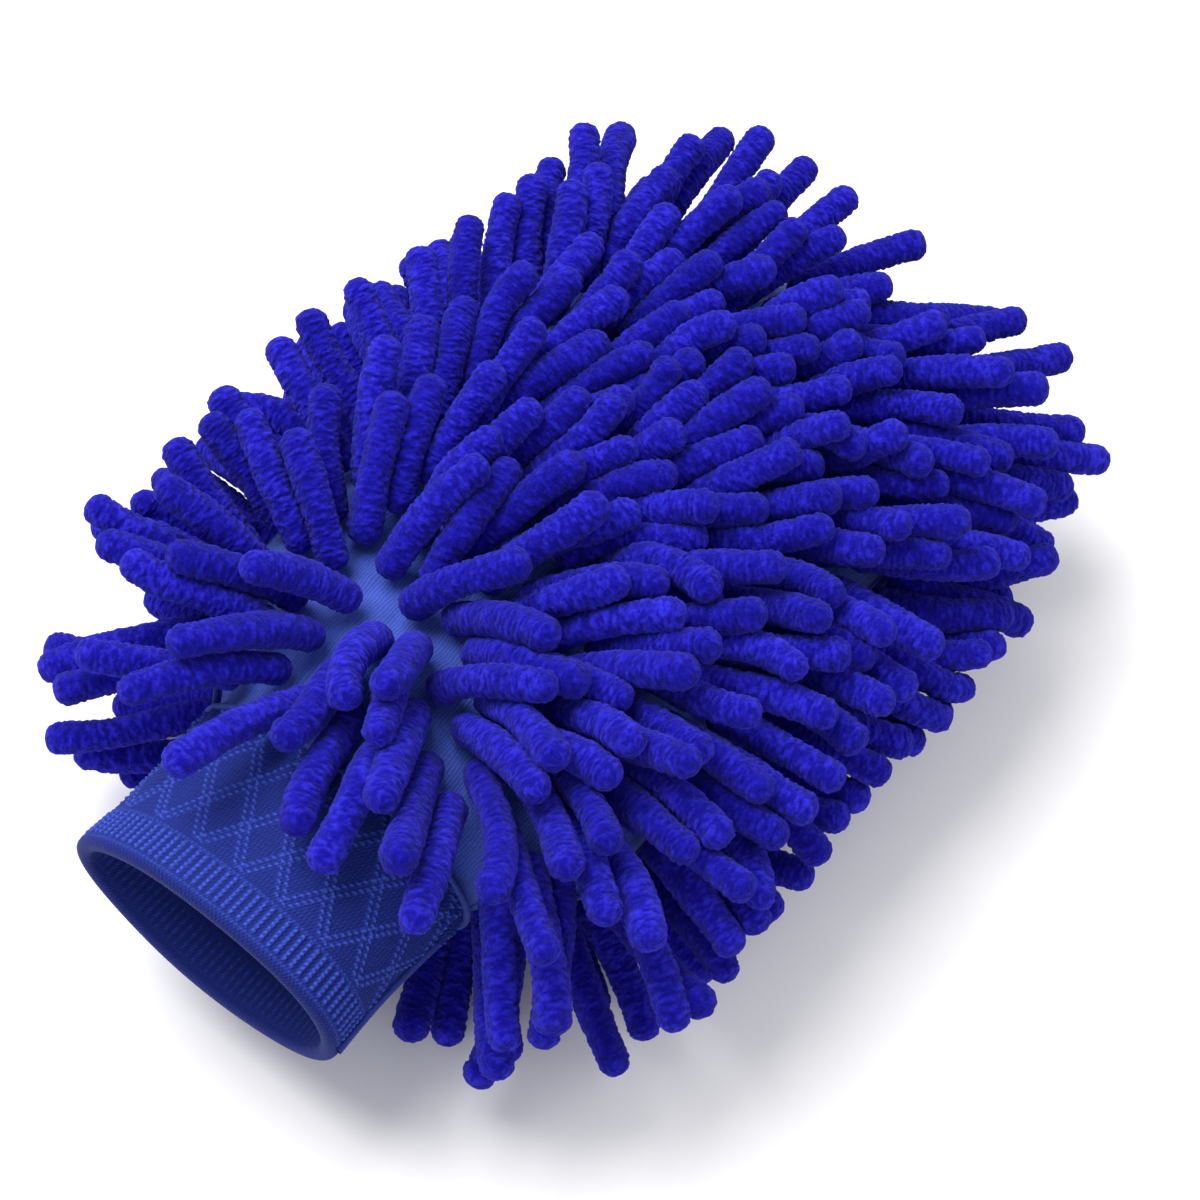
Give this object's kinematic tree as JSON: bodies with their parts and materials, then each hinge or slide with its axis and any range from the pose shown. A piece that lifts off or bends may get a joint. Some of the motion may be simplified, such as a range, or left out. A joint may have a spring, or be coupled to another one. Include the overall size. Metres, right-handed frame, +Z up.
{
  "type": "chenille wash mitt",
  "caption": "Chenille wash mitt: a flattened fabric pouch covered on both faces with soft noodles, lined, with a knitted elastic cuff at the wrist.",
  "frame": {"origin": "the middle of the bounding box's underside, on the surface the mitt lies on", "axes": "+X from the cuff to the fingertips, +Y across the hand, +Z up through the thickness"},
  "size_m": [0.264, 0.1664, 0.0879],
  "materials": {
    "chenille": "deep ultramarine microfibre chenille, matt and fuzzy",
    "base_knit": "smooth blue tricot knit with a slight sheen",
    "lining": "thin matt blue lining knit",
    "cuff_knit": "blue ribbed and patterned elastic knit",
    "thread": "blue overlock thread",
    "elastic": "off-white woven elastic"
  },
  "bodies": {
    "mitt": {"top_panel": "base_knit", "bottom_panel": "base_knit", "top_liner": "lining", "bottom_liner": "lining", "perimeter_seam": "thread", "mouth_seam": "thread", "cuff_gather": "cuff_knit", "top_noodle_row_01": "chenille", "top_noodle_row_02": "chenille", "top_noodle_row_03": "chenille", "top_noodle_row_04": "chenille", "top_noodle_row_05": "chenille", "top_noodle_row_06": "chenille", "top_noodle_row_07": "chenille", "top_noodle_row_08": "chenille", "top_noodle_row_09": "chenille", "top_noodle_row_10": "chenille", "top_noodle_row_11": "chenille", "top_noodle_row_12": "chenille", "top_noodle_row_13": "chenille", "top_noodle_row_14": "chenille", "bottom_noodle_row_01": "chenille", "bottom_noodle_row_02": "chenille", "bottom_noodle_row_03": "chenille", "bottom_noodle_row_04": "chenille", "bottom_noodle_row_05": "chenille", "bottom_noodle_row_06": "chenille", "bottom_noodle_row_07": "chenille", "bottom_noodle_row_08": "chenille", "bottom_noodle_row_09": "chenille", "bottom_noodle_row_10": "chenille", "bottom_noodle_row_11": "chenille", "bottom_noodle_row_12": "chenille", "bottom_noodle_row_13": "chenille", "bottom_noodle_row_14": "chenille"},
    "cuff": {"cuff": "cuff_knit", "cuff_elastic": "elastic", "cuff_side_seam": "thread"}
  },
  "joints": [
    {"name": "wrist_bend", "type": "hinge", "parent": "mitt", "child": "cuff", "pos_m": [-0.0915, 0.0006, 0.0428], "axis": [0, 1, 0], "range_deg": [-10, 10], "stiffness_Nm_per_rad": 0.08, "deforming": ["cuff_gather"]}
  ]
}
